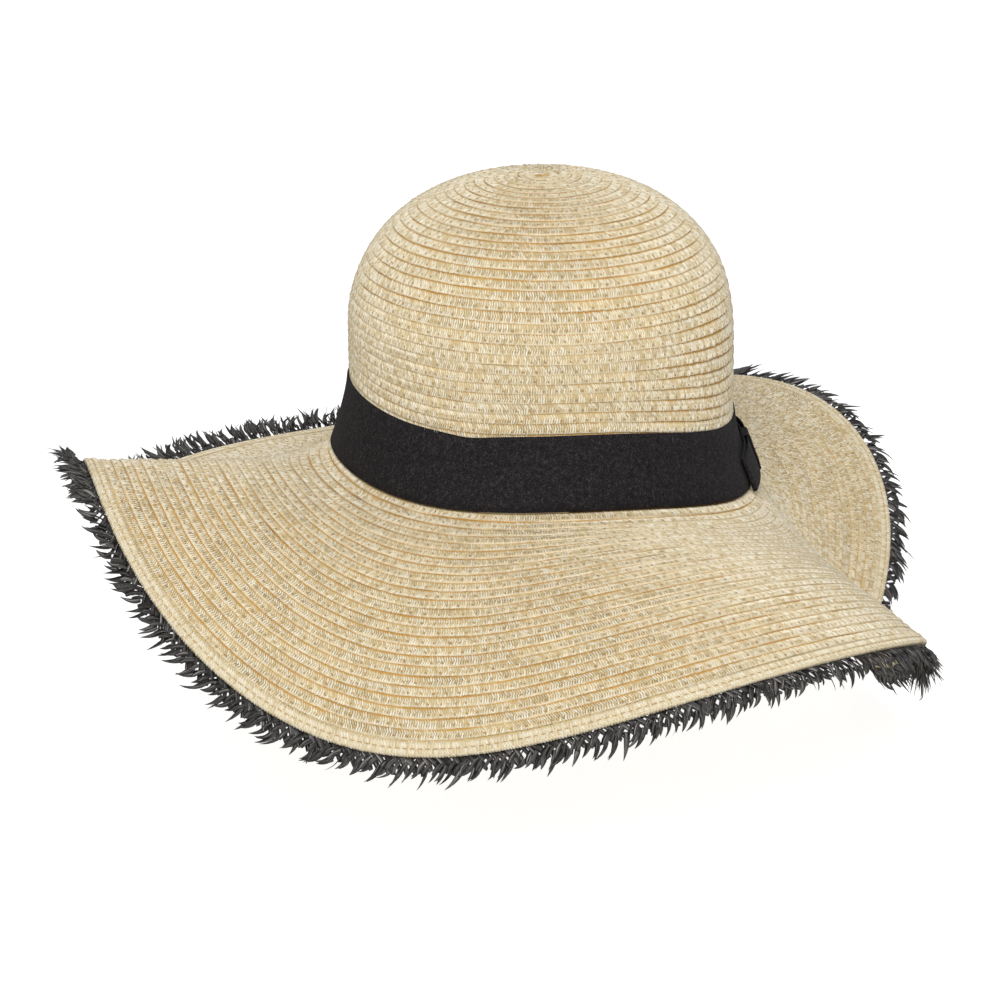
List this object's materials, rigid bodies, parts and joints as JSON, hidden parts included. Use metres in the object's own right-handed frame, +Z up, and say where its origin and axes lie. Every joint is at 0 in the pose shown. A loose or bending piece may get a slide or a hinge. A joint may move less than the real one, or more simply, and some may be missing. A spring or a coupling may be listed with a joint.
{
  "type": "straw sun hat",
  "caption": "Wide-brimmed sun hat of spiral-sewn straw braid, with a domed oval crown, black grosgrain ribbon, flat side bow and a frayed black raffia fringe round a wavy brim.",
  "frame": {"origin": "centre of the head opening, level with the mean line where the crown meets the brim", "axes": "+Z up through the crown, -Y towards the wearer's front, +X towards the wearer's left, where the bow is"},
  "size_m": [0.4039, 0.4698, 0.265],
  "materials": {
    "straw_braid": "natural twisted paper braid, spiral sewn",
    "straw_edge": "folded last row of the same braid",
    "raffia": "black paper raffia, semi-gloss creases",
    "ribbon": "black grosgrain, fine cross ribs",
    "sweatband_cotton": "cotton grosgrain, natural",
    "straw_thread": "golden brown sewing thread",
    "black_thread": "black sewing thread",
    "spring_wire": "thin spring steel wire",
    "crimp_metal": "crimped sleeve",
    "label_tape": "blank woven tape"
  },
  "bodies": {
    "root": {"crown_braid": "straw_braid", "brim_braid": "straw_braid", "brim_hem": "straw_edge", "brim_wire": "spring_wire", "wire_sleeve": "crimp_metal", "fringe_heading": "raffia", "fringe_ends": "raffia", "fringe_thread": "black_thread", "crown_thread": "straw_thread", "brim_thread": "straw_thread", "hem_thread": "straw_thread", "ribbon_band": "ribbon", "sweatband": "sweatband_cotton", "sweatband_thread": "straw_thread", "size_label": "label_tape", "bow_tails": "ribbon", "bow_loop_front": "ribbon", "bow_loop_back": "ribbon", "bow_knot": "ribbon", "ribbon_tacks": "black_thread", "bow_tacks": "black_thread"}
  },
  "joints": []
}
